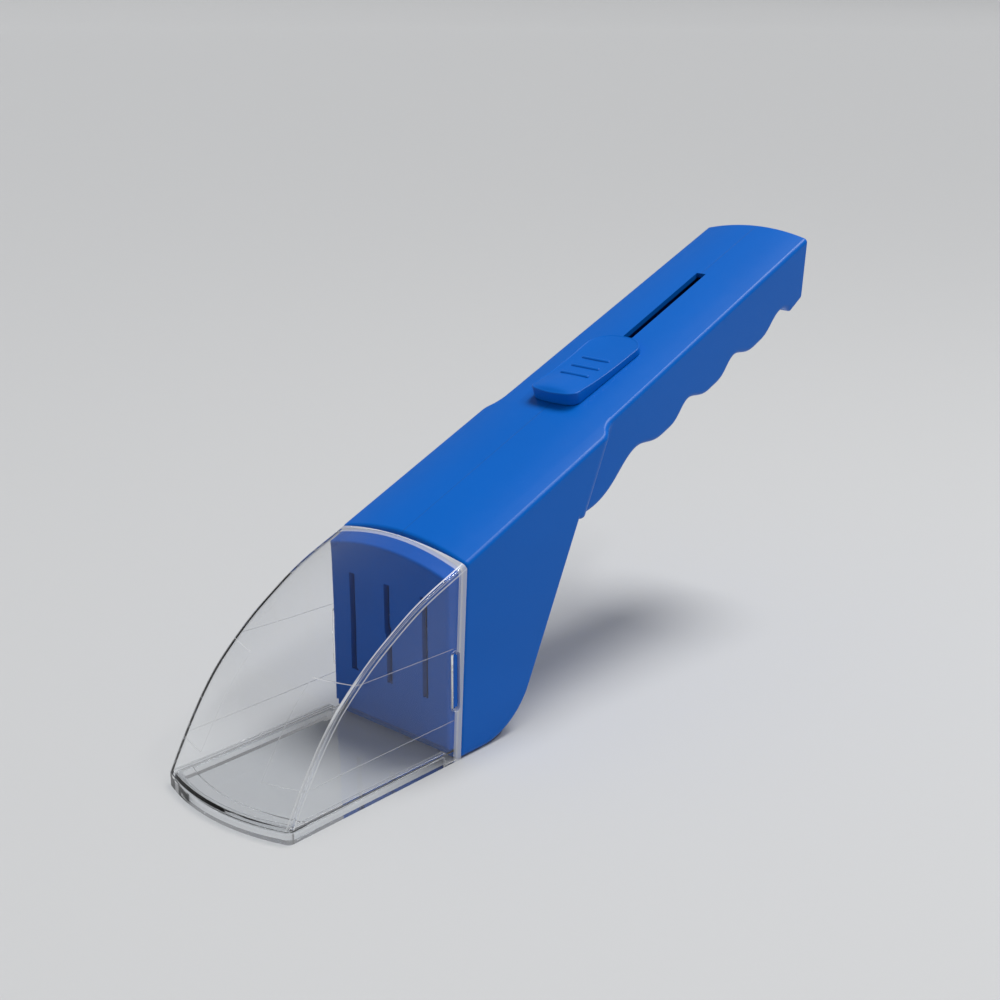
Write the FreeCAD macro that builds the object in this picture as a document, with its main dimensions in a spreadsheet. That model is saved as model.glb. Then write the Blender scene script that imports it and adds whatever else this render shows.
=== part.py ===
"""Hand-held live insect catcher: a hollow two-half handle and head, a clear trap hood on the
front of the head, and a flexible clear shutter under the hood that a thumb slide pulls back.

Frame, in millimetres: X points forward to the lip of the hood, Y to the left, Z up.
Z = 0 is the surface it rests on, and X = 0 is the foot of the joint between hood and head.
"""
import FreeCAD, Part
import math
import os
import Sketcher
from FreeCAD import Placement, Rotation, Vector

# ---------------------------------------------------------------- driving dimensions
DIMENSIONS = [
    ("head_half_width", 30.0, "half the width of the hood and of the head"),
    ("wall", 2.0, "wall of the two shell halves and of the hood"),
    ("fit_gap", 0.3, "clearance between pieces that plug into each other"),
    ("rim_height", 70.0, "height of the hood joint at its side edges"),
    ("rim_lean", 3.5, "how far the top of the joint leans back"),
    ("top_angle", 20.96, "slope of the top of head and handle, degrees"),
    ("crown_radius", 107.0, "radius of the arched top, across the piece"),
    ("handle_length", 230.1, "from the joint to the rear end, along the top"),
    ("neck_half_width", 26.1, "half the width where the handle leaves the head"),
    ("tail_half_width", 24.8, "half the width at the upper rear edge"),
    ("heel_radius", 28.0, "radius of the heel under the head"),
    ("rear_wall_angle", 64.0, "slope of the rear wall of the head, degrees"),
    ("grip_pitch", 33.4, "distance between finger notches"),
    ("grip_depth", 23.0, "depth of the handle at the swells between the notches"),
    ("notch_depth", 18.6, "depth of the handle at a finger notch"),
    ("first_notch", 101.1, "first finger notch, along the top"),
    ("swell_flat", 6.5, "half the length of a swell's flat underside"),
    ("swell_lift", 0.5, "how far the underside has risen at the ends of that flat"),
    ("neck_swell_lag", 12.0, "from the deepest point of the grip to the swell behind it"),
    ("neck_swell_extra", 0.9, "how much deeper that swell is than the others"),
    ("shoulder_length", 7.0, "length of the step from the head's width to the handle's"),
    ("taper_length", 97.0, "length over which the handle's width tapers"),
    ("edge_round", 1.8, "rounding along the long edges of the shells"),
    ("rear_round", 0.8, "rounding around the rear end face"),
    ("slot_start", 100.2, "front end of the thumb slot, along the top"),
    ("slot_end", 188.4, "rear end of the thumb slot, along the top"),
    ("slot_width", 4.4, "width of the thumb slot"),
    ("travel", 76.8, "travel of the thumb slide and of the shutter"),
    ("hood_corner", 2.2, "rounding where the hood's top sheet meets its sides"),
    ("lip_corner", 2.2, "rounding of the lip's corners"),
    ("lip_reach", 76.4, "corners of the lip, ahead of the joint"),
    ("lip_bow", 5.8, "how far the middle of the lip bows forward of its corners"),
    ("rail_height", 4.6, "height of the shutter rail"),
    ("rail_width", 3.5, "width of the shutter rail"),
    ("rail_setback", 6.2, "rear ends of the rail, ahead of the joint"),
    ("groove_floor", 2.9, "floor of the shutter groove"),
    ("groove_roof", 4.1, "roof of the shutter groove"),
    ("sheet_level", 3.5, "middle of the shutter sheet in its groove"),
    ("sheet_gauge", 0.7, "thickness of the shutter sheet"),
    ("sheet_half_width", 27.6, "half the width of the shutter sheet"),
    ("tongue_half_width", 18.0, "half the width of the strip that pulls the sheet"),
    ("tongue_depth", 9.0, "strip in the handle, below the top"),
    ("neck_bend", 30.0, "radius of the strip's bend into the handle"),
    ("plug_front", 4.0, "front face of the vent bulkhead, ahead of the joint"),
    ("plug_rear", -11.0, "rear edge of the vent bulkhead"),
    ("vent_width", 2.6, "width of a vent slit"),
    ("vent_pitch", 17.0, "distance between vent slits"),
    ("vent_foot", 21.0, "lower end of the vent slits"),
    ("vent_head", 57.0, "upper end of the vent slits"),
    ("window_height", 22.0, "height of a snap window in the hood"),
    ("window_width", 3.3, "width of a snap window in the hood"),
    ("window_level", 29.5, "middle of a snap window"),
    ("window_ahead", 1.2, "middle of a snap window, ahead of the joint"),
    ("ridge_width", 1.8, "width of the bulkhead's snap ridges"),
    ("ridge_play", 1.6, "how much shorter a snap ridge is than its window, each end"),
    ("ridge_sink", 0.6, "how far a ridge stays below the hood's face"),
    ("plug_round", 1.2, "rounding around the bulkhead's front face"),
    ("plug_wall", 1.8, "side walls of the bulkhead"),
    ("plug_face", 2.2, "thickness of the bulkhead's front face"),
    ("lead_depth", 6.0, "length of the shutter's stiff front edge"),
    ("lead_gauge", 0.95, "thickness of the shutter's stiff front edge"),
    ("button_start", 86.5, "front edge of the thumb button, along the top"),
    ("button_length", 47.5, "length of the thumb button"),
    ("button_front_half", 10.7, "half the width of the button at its front"),
    ("button_rear_half", 12.0, "half the width of the button near its rear"),
    ("button_crest", 6.4, "height of the button's front crest above the top"),
    ("button_corner", 3.0, "rounding of the button's corners, in plan"),
    ("button_gap", 0.35, "clearance between the button and the arched top"),
    ("stem_start", 101.0, "front of the button's stem, along the top"),
    ("stem_length", 10.2, "length of the button's stem"),
    ("stem_width", 3.8, "width of the button's stem"),
    ("track_start", 91.0, "front end of the slide track, along the top"),
    ("track_length", 107.0, "length of the slide track"),
    ("track_half_width", 11.0, "half the width of the slide track"),
    ("track_floor", 6.6, "underside of the slide track, below the top"),
    ("track_top", 1.5, "upper edge of the slide track, above the top's side edges"),
    ("track_wall", 2.2, "side walls of the slide track"),
    ("track_base", 1.4, "floor of the slide track"),
    ("carriage_length", 22.0, "length of the slide carriage"),
    ("carriage_height", 4.4, "height of the slide carriage"),
    ("running_gap", 0.3, "gap between carriage and track, each side"),
    ("carriage_bore", 1.4, "radius of the screw bore in the carriage"),
    ("lug_length", 9.0, "length of the carriage's lug that holds the strip"),
    ("lug_width", 4.2, "width of the lug"),
    ("lug_offset", -5.5, "middle of the lug, ahead of the carriage's middle"),
    ("floor_slot_width", 5.4, "width of the slot in the track's floor"),
    ("clamp_width", 24.0, "width of the clamp bar under the strip"),
    ("clamp_gauge", 1.6, "thickness of the clamp bar"),
    ("rivet_radius", 0.9, "radius of the clamp rivets"),
    ("rivet_head", 1.6, "head radius of the clamp rivets"),
    ("rivet_pitch", 5.0, "distance between the two clamp rivets"),
    ("button_screw_offset", 2.5, "button screw, ahead of the carriage's middle"),
    ("button_screw_length", 8.4, "shank length of the button screw"),
    ("screw_radius", 1.25, "shank radius of the shell screws"),
    ("screw_head_radius", 2.6, "head radius of the shell screws"),
    ("screw_length", 21.0, "shank length of the shell screws"),
    ("screw_seat", 12.0, "seat of the screw heads, from the middle plane"),
    ("screw_head_height", 1.8, "height of the shell screws' heads"),
    ("boss_radius", 3.6, "radius of the screw bosses"),
    ("cover_gap", 0.3, "clearance around a screw head or above the bulkhead's rail"),
]

doc = FreeCAD.newDocument("insect_catcher")
sheet = doc.addObject("Spreadsheet::Sheet", "sizes")
for row, (alias, value, note) in enumerate(DIMENSIONS, start=1):
    sheet.set(f"A{row}", alias)
    sheet.set(f"B{row}", str(value))
    sheet.set(f"C{row}", note)
    sheet.setAlias(f"B{row}", alias)
doc.recompute()
worked_out = []


def size(alias):
    return float(sheet.get(alias))


def add_length(alias, value):
    """Puts a length that follows from the others into the sheet."""
    row = len(DIMENSIONS) + 1 + len(worked_out)
    worked_out.append(alias)
    sheet.set(f"A{row}", alias)
    sheet.set(f"B{row}", str(round(value, 4)))
    sheet.setAlias(f"B{row}", alias)
    doc.recompute()


# ---------------------------------------------------------------- shared directions and places
TOP_ANGLE = math.radians(size("top_angle"))
WALL_ANGLE = math.radians(size("rear_wall_angle"))
REARWARD = Vector(-math.cos(TOP_ANGLE), 0, math.sin(TOP_ANGLE))
TOPWARD = Vector(math.sin(TOP_ANGLE), 0, math.cos(TOP_ANGLE))
WALL_UP = Vector(-math.cos(WALL_ANGLE), 0, math.sin(WALL_ANGLE))
WALL_IN = Vector(math.sin(WALL_ANGLE), 0, math.cos(WALL_ANGLE))
ACROSS = Vector(0, 1, 0)
RIM_TOP = Vector(-size("rim_lean"), 0, size("rim_height"))
HANDLE_TURN = Rotation(ACROSS, size("top_angle"))
NECK = (56.8, 21.1)            # where rear wall and grip meet: along the top, and below it
FIRST_SWELL = (68.7, 25.2)     # deepest point of the grip, just behind the neck
TAIL_FOOT = (211.4, 22.6)      # lower rear corner of the grip
TAIL_CHAMFER = (219.9, 21.3)   # foot of the near-upright end face
ABOVE = 88.0                   # a level above the whole head
HALF_SPAN = 40.0               # a half width that is clear of the whole piece
BUTTON_TOP = [(0.4, 1.8), (3.2, 0.0), (9.0, 1.5), (18.0, 3.2), (29.0, 3.9), (40.0, 4.1), (46.3, 4.6)]
SCREW_PLACES = [(9.0, 14.2), (-1.7, 42.2), (117.8, 16.6), (151.2, 16.6), (205.6, 15.0)]


def handle_point(along, below, side=0.0):
    """A point given by its distance along the top, its depth below the top, and its side."""
    return RIM_TOP + REARWARD * along - TOPWARD * below + ACROSS * side


def handle_place(along, below, side=0.0):
    """A placement whose X runs forward along the handle's top and whose Z points out of it."""
    return Placement(handle_point(along, below, side), HANDLE_TURN)


def prism(points_or_edges, direction):
    """A solid from a closed outline pulled along a direction."""
    return Part.Face(Part.Wire(points_or_edges)).extrude(direction)


def polygon_edges(points):
    closed = list(points) + [points[0]]
    return [Part.makeLine(a, b) for a, b in zip(closed[:-1], closed[1:])]


def slab(x0, x1, y0, y1, z0, z1):
    return Part.makeBox(x1 - x0, y1 - y0, z1 - z0, Vector(x0, y0, z0))


# ---------------------------------------------------------------- outline of head and handle
def heel_centre():
    """Centre of the heel arc, which touches the ground and the rear wall."""
    radius = size("heel_radius")
    neck = handle_point(*NECK)
    reach = (radius - (radius - neck.z) * WALL_IN.z) / WALL_IN.x
    return Vector(neck.x + reach, 0, radius)


def grip_curve(inset):
    """The wavy underside of the grip, from the neck to the tail."""
    swell = size("grip_depth") - inset
    notch = size("notch_depth") - inset
    corner = handle_point(*NECK) + (WALL_IN + TOPWARD) * (inset / (1 + WALL_IN.dot(TOPWARD)))
    points = [corner, handle_point(FIRST_SWELL[0], FIRST_SWELL[1] - inset)]
    flat, lift = size("swell_flat"), size("swell_lift")
    second_swell = FIRST_SWELL[0] + size("neck_swell_lag")
    points.append(handle_point(second_swell, swell + size("neck_swell_extra")))
    for k in range(4):
        at = size("first_notch") + k * size("grip_pitch")
        points.append(handle_point(at, notch))
        if k < 3:
            middle = at + size("grip_pitch") / 2
            points.append(handle_point(middle - flat, swell - lift))
            points.append(handle_point(middle, swell))
            points.append(handle_point(middle + flat, swell - lift))
    points.append(handle_point(TAIL_FOOT[0], TAIL_FOOT[1] - inset))
    curve = Part.BSplineCurve()
    curve.interpolate(points)
    return curve.toShape(), points[0], points[-1]


def side_outline(inset, front):
    """Side view of head and handle; `front` gives the foot and the top of its front line."""
    centre = heel_centre()
    radius = size("heel_radius") - inset
    heel_foot = centre - Vector(0, 0, radius)
    heel_back = centre - WALL_IN * radius
    heel_middle = centre - (Vector(0, 0, 1) + WALL_IN).normalize() * radius
    grip, neck, tail = grip_curve(inset)
    chamfer = handle_point(TAIL_CHAMFER[0] - inset * 0.6, TAIL_CHAMFER[1] - inset)
    tail_top = handle_point(size("handle_length") - inset * 1.1, 0)
    above = (tail_top - chamfer).normalize() * 9.0
    foot, top = front
    foot = Vector(foot.x, 0, inset)
    return [
        Part.makeLine(foot, heel_foot),
        Part.Arc(heel_foot, heel_middle, heel_back).toShape(),
        Part.makeLine(heel_back, neck),
        grip,
        Part.makeLine(tail, chamfer),
        Part.makeLine(chamfer, tail_top + above),
        Part.makeLine(tail_top + above, top),
        Part.makeLine(top, foot),
    ]


def plan_prism(inset):
    """Everything inside the plan outline, pulled along the slope of the rear wall.

    Behind the neck line the head's full width steps in softly to the tapering handle."""
    head = size("head_half_width") - inset
    neck = size("neck_half_width") - inset
    start = 0.3 - handle_point(*NECK).dot(WALL_IN)
    step, drop, end = size("shoulder_length"), head - neck, 120.0
    taper = (size("neck_half_width") - size("tail_half_width")) / size("taper_length")
    tail = neck - taper * (end - step)
    radius = (step ** 2 + drop ** 2) / (4 * drop)
    half_turn = math.asin(step / 2 / radius) / 2
    reach = radius * math.sin(half_turn)
    sink = radius * (1 - math.cos(half_turn))

    def place(behind, side):
        return WALL_IN * -behind + ACROSS * side - WALL_UP * 200

    edges = []
    for side in (1, -1):
        shoulder = place(start, head * side)
        middle = place(start + step / 2, (head + neck) / 2 * side)
        neck_point = place(start + step, neck * side)
        edges += [
            Part.makeLine(place(-160, head * side), shoulder),
            Part.Arc(shoulder, place(start + reach, (head - sink) * side), middle).toShape(),
            Part.Arc(middle, place(start + step - reach, (neck + sink) * side), neck_point).toShape(),
            Part.makeLine(neck_point, place(start + end, tail * side)),
        ]
    edges.append(Part.makeLine(place(-160, head), place(-160, -head)))
    edges.append(Part.makeLine(place(start + end, tail), place(start + end, -tail)))
    return prism(Part.__sortEdges__(edges), WALL_UP * 480)


def crown_prism(inset):
    """Everything under the arched top."""
    radius = size("crown_radius")
    drop = math.sqrt(radius ** 2 - size("head_half_width") ** 2)
    start = handle_point(-60, drop)
    return Part.makeCylinder(radius - inset, 330, start, REARWARD)


def rim_line(offset=0.0):
    """Foot and top of the joint between hood and head, moved along X."""
    lean = size("rim_lean") / size("rim_height")
    return Vector(offset, 0, 0), Vector(offset - lean * ABOVE, 0, ABOVE)


def upright_line(x):
    return Vector(x, 0, 0), Vector(x, 0, ABOVE)


def body_form(inset, front):
    outline = side_outline(inset, front)
    block = prism(outline, ACROSS * HALF_SPAN * 2)
    block.translate(ACROSS * -HALF_SPAN)
    return block.common(plan_prism(inset)).common(crown_prism(inset))


def long_edges(solid, on_top):
    """Edges along the length, either where the sides meet the arched top or the others."""
    found = []
    for edge in solid.Edges:
        box = edge.BoundBox
        middle = edge.CenterOfMass
        lies_along = box.XLength > 3.0 and box.YLength < box.XLength and abs(middle.y) > 15
        near_top = abs((middle - RIM_TOP).dot(TOPWARD)) < 3.5
        if lies_along and near_top == on_top:
            found.append(edge)
    return found


def rounded(solid, edges, radius):
    for reach in (radius, radius * 0.6, radius * 0.35):
        try:
            result = solid.makeFillet(reach, edges)
            if result.isValid() and abs(result.Volume / solid.Volume - 1) < 0.1:
                return result
        except Part.OCCError:
            continue
    raise RuntimeError("no rounding fits")


# ---------------------------------------------------------------- shell halves
def boss(place, y_from, y_to, radius):
    along, below = place
    at = handle_point(along, below)
    return Part.makeCylinder(radius, y_to - y_from, Vector(at.x, y_from, at.z), ACROSS)


def slot_cutter():
    length, width = size("slot_end") - size("slot_start"), size("slot_width")
    cutter = Part.makeBox(length, width, 20, Vector(-length / 2, -width / 2, -8))
    middle = (size("slot_start") + size("slot_end")) / 2
    cutter.Placement = handle_place(middle, 0).multiply(cutter.Placement)
    return cutter


def shell_halves():
    outer = body_form(0, rim_line())
    for on_top in (True, False):
        outer = rounded(outer, long_edges(outer, on_top), size("edge_round"))
    rear_x = handle_point(size("handle_length"), 0).x + 6
    rear_edges = [e for e in outer.Edges if e.BoundBox.XMax < rear_x and e.Length > 3]
    outer = rounded(outer, rear_edges, size("rear_round"))
    cavity = body_form(size("wall"), rim_line(12))
    walls = outer.cut(cavity).cut(slot_cutter())
    right_side = slab(-260, 40, -60, 0, -5, 200)
    left_side = slab(-260, 40, 0, 60, -5, 200)
    right, left = walls.common(right_side), walls.common(left_side)
    seat = size("screw_seat")
    head_hole = size("screw_head_radius") + size("cover_gap")
    shank_hole = size("screw_radius") + size("cover_gap") / 2
    for place in SCREW_PLACES:
        right_boss = boss(place, -HALF_SPAN, 0, size("boss_radius") + 0.4).common(outer)
        left_boss = boss(place, 0, HALF_SPAN, size("boss_radius")).common(outer)
        right = right.fuse(right_boss.common(right_side))
        left = left.fuse(left_boss.common(left_side))
        right = right.cut(boss(place, -HALF_SPAN, 1, shank_hole))
        right = right.cut(boss(place, -HALF_SPAN, -seat, head_hole))
        left = left.cut(boss(place, -1, size("screw_length") - seat + 1, size("screw_radius")))
    return left.removeSplitter(), right.removeSplitter()


# ---------------------------------------------------------------- hood
HOOD_STEPS = 14
HOOD_PROFILE = [(17.6, 61.9), (34.0, 52.7), (43.2, 46.4), (54.2, 37.0), (61.2, 28.9),
                (67.4, 19.9), (72.6, 11.4)]


def hood_side_curve():
    """Side view of the hood's top sheet, from the joint down to the lip."""
    points = [Vector(RIM_TOP.x, 0, RIM_TOP.z)]
    points += [Vector(x, 0, z) for x, z in HOOD_PROFILE]
    points.append(Vector(size("lip_reach"), 0, size("rail_height")))
    curve = Part.BSplineCurve()
    curve.interpolate(points)
    return curve


def hood_sheet(inset):
    """The arched top sheet as a face, carried past its own edges so that it can cut."""
    curve = hood_side_curve()
    half = size("head_half_width")
    rim_sag = crown_rise()
    lip_sag = size("lip_bow") * 0.9
    first, last = curve.FirstParameter, curve.LastParameter
    rows = []
    for i in range(-1, HOOD_STEPS + 2):
        share = min(max(i / HOOD_STEPS, 0), 1)
        at = first + (last - first) * share
        point = curve.value(at)
        along = Vector(*curve.tangent(at)[0]).normalize()
        if i < 0:
            point = point - along * 40
        if i > HOOD_STEPS:
            point = point + along * 22
        out = Vector(-along.z, 0, along.x)
        if out.z < 0:
            out = out * -1
        sag = rim_sag + (lip_sag - rim_sag) * share ** 2
        row = []
        for j in range(-6, 7):
            y = half * 1.1 * j / 6
            rise = sag * (1 - (y / half) ** 2)
            row.append(point + out * (rise - inset) + ACROSS * y)
        rows.append(row)
    surface = Part.BSplineSurface()
    surface.interpolate(rows)
    return surface.toShape()


def under_sheet(inset, floor, rear):
    """The block under the hood's top sheet, `inset` inside its outer face."""
    half = size("head_half_width") - inset
    foot, top = rear
    lean = (top.x - foot.x) / top.z
    ahead = size("lip_reach") + size("lip_bow") + 5
    outline = polygon_edges([Vector(foot.x + lean * floor, -half, floor), Vector(ahead, -half, floor),
                             Vector(ahead, -half, ABOVE), Vector(top.x, -half, ABOVE)])
    block = prism(outline, ACROSS * half * 2)
    above = hood_sheet(inset).extrude(Vector(90, 0, 90))
    return block.cut(above)


def hood_form(inset, floor, rear, corner):
    """The hood's outer or inner form, with round corners between top sheet and sides."""
    form = under_sheet(inset, floor, rear).Solids[0]
    half = size("head_half_width") - inset
    corners = [e for e in form.Edges if abs(abs(e.CenterOfMass.y) - half) < 0.1
               and e.BoundBox.XLength > 20 and e.BoundBox.ZLength > 20]
    return rounded(form, corners, corner)


def snap_window(side):
    """An upright oblong hole in the hood's side wall, next to the joint."""
    width, height = size("window_width"), size("window_height")
    middle = Vector(size("window_ahead"), side * size("head_half_width"), size("window_level"))
    radius, reach = width / 2, (height - width) / 2
    bar = slab(-radius, radius, -3, 3, -reach, reach)
    for end in (-1, 1):
        bar = bar.fuse(Part.makeCylinder(radius, 6, Vector(0, -3, end * reach), ACROSS))
    bar.translate(middle)
    return bar.removeSplitter()


def clear_hood():
    rail_top = size("rail_height")
    corner = size("hood_corner")
    outer = hood_form(0, 0, rim_line(), corner)
    inner = hood_form(size("wall"), -5, rim_line(-10), corner * 0.45)
    hood = outer.cut(inner)
    ahead = slab(size("rail_setback"), 120, -60, 60, -5, rail_top)
    hood = hood.cut(ahead)
    for side in (-1, 1):
        hood = hood.cut(snap_window(side))
    return hood.removeSplitter()


def lip_outline(inset, rear, level, height):
    """Plan form inside the lip: straight sides and a bowed front, from `rear` forward."""
    half = size("head_half_width") - inset
    corner = Vector(size("lip_reach") - inset, half, level)
    middle = Vector(size("lip_reach") + size("lip_bow") - inset, 0, level)
    far = Vector(corner.x, -half, level)
    edges = [Part.makeLine(Vector(rear, half, level), corner),
             Part.Arc(corner, middle, far).toShape(),
             Part.makeLine(far, Vector(rear, -half, level)),
             Part.makeLine(Vector(rear, -half, level), Vector(rear, half, level))]
    form = prism(edges, Vector(0, 0, height))
    radius = max(size("lip_corner") - inset, 0.6)
    upright = [e for e in form.Edges if e.BoundBox.ZLength > height * 0.9 and e.CenterOfMass.x > rear + 5]
    return form.makeFillet(radius, upright)


def shutter_rail():
    """U-shaped lower rail with the groove that the shutter's edges run in."""
    rear = size("rail_setback")
    top, floor, roof = size("rail_height"), size("groove_floor"), size("groove_roof")
    rail = lip_outline(0, rear, 0, top).cut(lip_outline(size("rail_width"), rear - 5, -1, top + 2))
    groove = lip_outline(size("wall"), rear - 5, floor, roof - floor)
    return rail.cut(groove).removeSplitter()


# ---------------------------------------------------------------- vent bulkhead
def vent_bulkhead():
    """Plug that closes the head behind the trap, with three air slits and two snap ridges."""
    gap = size("fit_gap") + size("wall")
    foot = size("groove_roof") + size("cover_gap")
    front, rear = size("plug_front"), size("plug_rear")
    wall, face = size("plug_wall"), size("plug_face")
    form = body_form(gap, upright_line(front))
    form = form.common(slab(rear, front + 1, -HALF_SPAN, HALF_SPAN, foot, ABOVE + 2))
    front_edges = [e for e in form.Edges
                   if abs(e.CenterOfMass.x - front) < 0.01 and e.BoundBox.XLength < 0.01]
    form = rounded(form, front_edges, size("plug_round"))
    hollow = body_form(gap + wall, upright_line(front - face))
    hollow = hollow.common(slab(rear - 1, front, -HALF_SPAN, HALF_SPAN, foot + wall, ABOVE + 2))
    plug = form.cut(hollow)
    half = size("vent_width") / 2
    for number in (-1, 0, 1):
        side = number * size("vent_pitch")
        slit = slab(front - 4, front + 2, side - half, side + half, size("vent_foot"), size("vent_head"))
        plug = plug.cut(slit)
    outer = size("head_half_width") - size("ridge_sink")
    middle, half = size("window_ahead"), size("ridge_width") / 2
    level, reach = size("window_level"), size("window_height") / 2 - size("ridge_play")
    for side in (-1, 1):
        y0, y1 = sorted((side * (outer - gap), side * outer))
        plug = plug.fuse(slab(middle - half, middle + half, y0, y1, level - reach, level + reach))
    return plug.removeSplitter()


# ---------------------------------------------------------------- path of the shutter and its guides
STRIP_FRONT = -8.0      # where the sheet under the hood ends and the strip begins, along X
STRIP_REAR = 96.0       # rear end of the strip's path, along the top
GUIDE_GAP = 0.4         # between the strip and its guides
GUIDE_WALL = 1.3        # wall of the guides


def path_edges(offset, front_x, rear_along):
    """The strip's path: groove, heel, rear wall, bend into the handle, and along the handle.

    A positive offset lies on the heel's inner side."""
    level = size("sheet_level")
    centre = heel_centre()
    radius = size("heel_radius") - level - offset
    heel_foot = centre - Vector(0, 0, radius)
    heel_back = centre - WALL_IN * radius
    heel_middle = centre - (Vector(0, 0, 1) + WALL_IN).normalize() * radius
    wall_point = handle_point(*NECK) + WALL_IN * level
    below = (RIM_TOP - wall_point).dot(TOPWARD)
    climb = (below - size("tongue_depth")) / WALL_UP.dot(TOPWARD)
    meeting = wall_point + WALL_UP * climb
    turn = WALL_UP.getAngle(REARWARD)
    bend = size("neck_bend")
    bend_start = meeting - WALL_UP * bend * math.tan(turn / 2)
    bend_centre = bend_start - WALL_IN * bend
    reach = bend + offset
    arc_start = bend_centre + WALL_IN * reach
    arc_end = bend_centre + TOPWARD * reach
    arc_middle = bend_centre + (WALL_IN + TOPWARD).normalize() * reach
    end = handle_point(rear_along, size("tongue_depth") - offset)
    return [
        Part.makeLine(Vector(front_x, 0, level + offset), heel_foot),
        Part.Arc(heel_foot, heel_middle, heel_back).toShape(),
        Part.makeLine(heel_back, arc_start),
        Part.Arc(arc_start, arc_middle, arc_end).toShape(),
        Part.makeLine(arc_end, end),
    ]


def ribbon(low, high, first, last, half_width):
    """A strip between two offsets of the path, over some of its stretches."""
    inner = path_edges(low, STRIP_FRONT, STRIP_REAR)[first:last + 1]
    outer = path_edges(high, STRIP_FRONT, STRIP_REAR)[first:last + 1]
    start_a = inner[0].valueAt(inner[0].FirstParameter)
    start_b = outer[0].valueAt(outer[0].FirstParameter)
    end_a = inner[-1].valueAt(inner[-1].LastParameter)
    end_b = outer[-1].valueAt(outer[-1].LastParameter)
    edges = inner + outer + [Part.makeLine(start_a, start_b), Part.makeLine(end_a, end_b)]
    strip = prism(Part.__sortEdges__(edges), ACROSS * half_width * 2)
    strip.translate(ACROSS * -half_width)
    return strip


def shutter_bend():
    half = size("sheet_gauge") / 2
    return ribbon(-half, half, 0, 3, size("tongue_half_width"))


def heel_guide():
    """Curved former on the inner side of the heel, up the rear wall to the neck."""
    near = size("sheet_gauge") / 2 + GUIDE_GAP
    form = ribbon(near, near + GUIDE_WALL, 1, 2, size("head_half_width") - size("wall"))
    rib = ribbon(near + GUIDE_WALL - 0.1, near + 5.0, 1, 2, 0.8)
    for side in (-1, 1):
        form = form.fuse(rib.translated(ACROSS * side * size("vent_pitch")))
    return form.common(body_form(size("wall"), rim_line())).removeSplitter()


def neck_guide():
    """Curved plate on the corner side of the strip's bend into the handle."""
    near = size("sheet_gauge") / 2 + GUIDE_GAP
    return ribbon(-near - GUIDE_WALL, -near, 3, 3, 24.0)


def shutter_panel():
    """Clear sheet that closes the mouth of the hood, without its stiff front edge."""
    gauge, level = size("sheet_gauge"), size("sheet_level")
    inset = size("head_half_width") - size("sheet_half_width")
    sheet_form = lip_outline(inset, STRIP_FRONT, level - gauge / 2, gauge)
    return sheet_form.cut(lead_bar_zone(level - 2, 4))


def lead_bar_zone(level, height):
    """Band of the shutter taken by its stiff front edge."""
    inset = size("head_half_width") - size("sheet_half_width")
    depth = size("lead_depth")
    whole = lip_outline(inset, STRIP_FRONT, level, height)
    rest = lip_outline(inset, STRIP_FRONT, level - 1, height + 2)
    rest.translate(Vector(-depth, 0, 0))
    strip_end = size("lip_reach") - inset - depth - 2
    side_strips = slab(-20, strip_end, -HALF_SPAN, HALF_SPAN, level - 1, level + height + 1)
    return whole.cut(rest).cut(side_strips)


def shutter_lead_edge():
    """Stiff front edge of the shutter, which seats in the lip."""
    thick = size("lead_gauge")
    return lead_bar_zone(size("sheet_level") - thick / 2, thick)


# ---------------------------------------------------------------- thumb button
def thumb_button():
    """Dished thumb button whose stem goes down through the slot."""
    start, length = size("button_start"), size("button_length")
    crest = crown_rise() + size("button_crest")
    points = [handle_point(start + at, drop - crest) for at, drop in BUTTON_TOP]
    curve = Part.BSplineCurve()
    curve.interpolate(points)
    foot_a = handle_point(start, 8)
    foot_b = handle_point(start + length, 8)
    outline = [curve.toShape(), Part.makeLine(points[-1], foot_b), Part.makeLine(foot_b, foot_a),
               Part.makeLine(foot_a, points[0])]
    block = prism(Part.__sortEdges__(outline), ACROSS * 40)
    block.translate(ACROSS * -20)
    button = block.common(button_plan(start, length)).cut(crown_prism(-size("button_gap")))
    stem_long, stem_wide = size("stem_length"), size("stem_width")
    stem_foot = carriage_floor() - size("carriage_height")
    stem_height = crown_rise() + 2.0 + stem_foot
    stem_corner = Vector(-stem_long / 2, -stem_wide / 2, -stem_foot)
    stem = Part.makeBox(stem_long, stem_wide, stem_height, stem_corner)
    stem.Placement = handle_place(carriage_middle(), 0).multiply(stem.Placement)
    depth = size("button_screw_length") - size("carriage_height")
    pilot = Part.makeCylinder(size("screw_radius"), depth + 0.2, Vector(0, 0, -stem_foot))
    place = handle_place(carriage_middle() - size("button_screw_offset"), 0)
    pilot.Placement = place.multiply(pilot.Placement)
    return button.fuse(stem).cut(pilot).removeSplitter()


def crown_rise():
    """Height of the arched top's middle above its side edges."""
    radius, half = size("crown_radius"), size("head_half_width")
    return radius - math.sqrt(radius ** 2 - half ** 2)


def button_plan(start, length):
    """Plan form of the button: rounded front, slightly wider rounded rear."""
    front, rear = size("button_front_half"), size("button_rear_half")

    def place(at, side):
        return handle_point(start + at, 10, side)

    narrow_at, wide_at = 2.0, length - 7.0
    edges = [
        Part.Arc(place(narrow_at, -front), place(0.0, 0), place(narrow_at, front)).toShape(),
        Part.makeLine(place(narrow_at, front), place(wide_at, rear)),
        Part.Arc(place(wide_at, rear), place(length, 0), place(wide_at, -rear)).toShape(),
        Part.makeLine(place(wide_at, -rear), place(narrow_at, -front)),
    ]
    form = prism(Part.__sortEdges__(edges), TOPWARD * 40)
    upright = [e for e in form.Edges if len(e.Vertexes) == 2
               and abs((e.Vertexes[1].Point - e.Vertexes[0].Point).dot(TOPWARD)) > 39]
    return form.makeFillet(size("button_corner"), upright)


# ---------------------------------------------------------------- helpers for sketched bodies
def new_body(label):
    body = doc.addObject("PartDesign::Body", label)
    body.Label = label
    return body


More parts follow.
